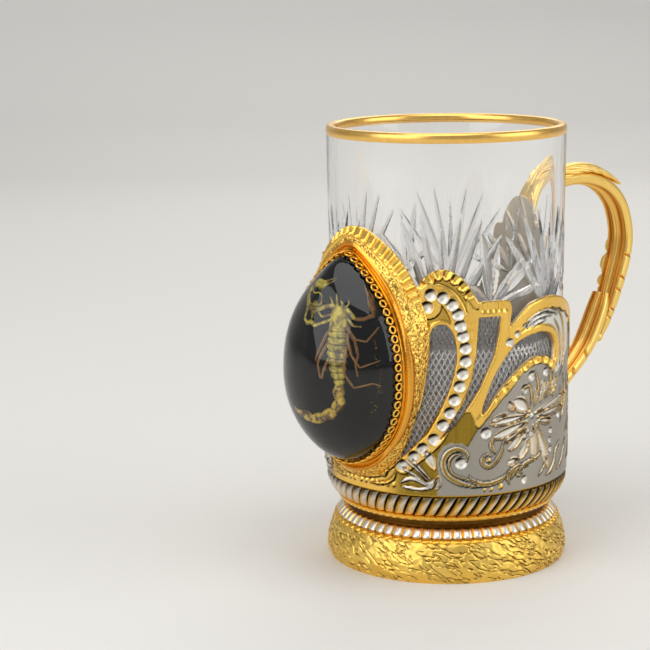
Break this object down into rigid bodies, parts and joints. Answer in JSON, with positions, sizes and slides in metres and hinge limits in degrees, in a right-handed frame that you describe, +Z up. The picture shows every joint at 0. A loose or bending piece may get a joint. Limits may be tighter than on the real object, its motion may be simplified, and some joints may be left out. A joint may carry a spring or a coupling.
{
  "type": "tea glass holder with tea glass",
  "caption": "Footed openwork tea glass holder with a scroll handle and a domed cabochon medallion, holding a straight tea glass that lifts out.",
  "frame": {"origin": "centre of the flat underside of the foot, on the axis of the cup", "axes": "+Z up along the axis of the cup, +X towards the handle, -X towards the medallion"},
  "size_m": [0.1374, 0.072, 0.127],
  "materials": {
    "gilt_brass": "polished gilding",
    "hammered_gilt": "hammered gilding",
    "stippled_gilt": "sand-textured gilding",
    "silvered_brass": "satin nickel plating with polished lobes",
    "two_tone_wall": "embossed sheet, gilded with nickel-plated fields",
    "clear_resin": "polished clear resin",
    "black_backing": "glossy black",
    "dried_scorpion": "dry chitin",
    "crystal_glass": "clear cut glass",
    "fired_gold": "thin fired gold",
    "plain_brass": "turned brass",
    "zinc_steel": "zinc-plated steel"
  },
  "bodies": {
    "holder": {"foot_skirt": "hammered_gilt", "base_plate": "plain_brass", "beaded_ring": "silvered_brass", "neck_collar": "gilt_brass", "lip_ring": "gilt_brass", "rope_ring": "gilt_brass", "cup_floor": "gilt_brass", "clamp_screw": "plain_brass", "clamp_washer": "zinc_steel", "clamp_nut": "plain_brass", "wall_shell": "two_tone_wall", "medallion_frame": "stippled_gilt", "backing_plate": "black_backing", "bezel_band": "gilt_brass", "gallery_rings": "gilt_brass", "cabochon": "clear_resin", "scorpion_body": "dried_scorpion", "scorpion_tail": "dried_scorpion", "scorpion_claws": "dried_scorpion", "scorpion_legs": "dried_scorpion", "handle_arm": "gilt_brass", "handle_strap": "gilt_brass", "thumb_leaf": "gilt_brass", "root_leaves": "gilt_brass"},
    "glass": {"glass_tumbler": "crystal_glass", "gilt_rim": "fired_gold"}
  },
  "joints": [
    {"name": "glass_lift", "type": "slide", "parent": "holder", "child": "glass", "axis": [0, 0, 1], "range_m": [0, 0.105]}
  ]
}
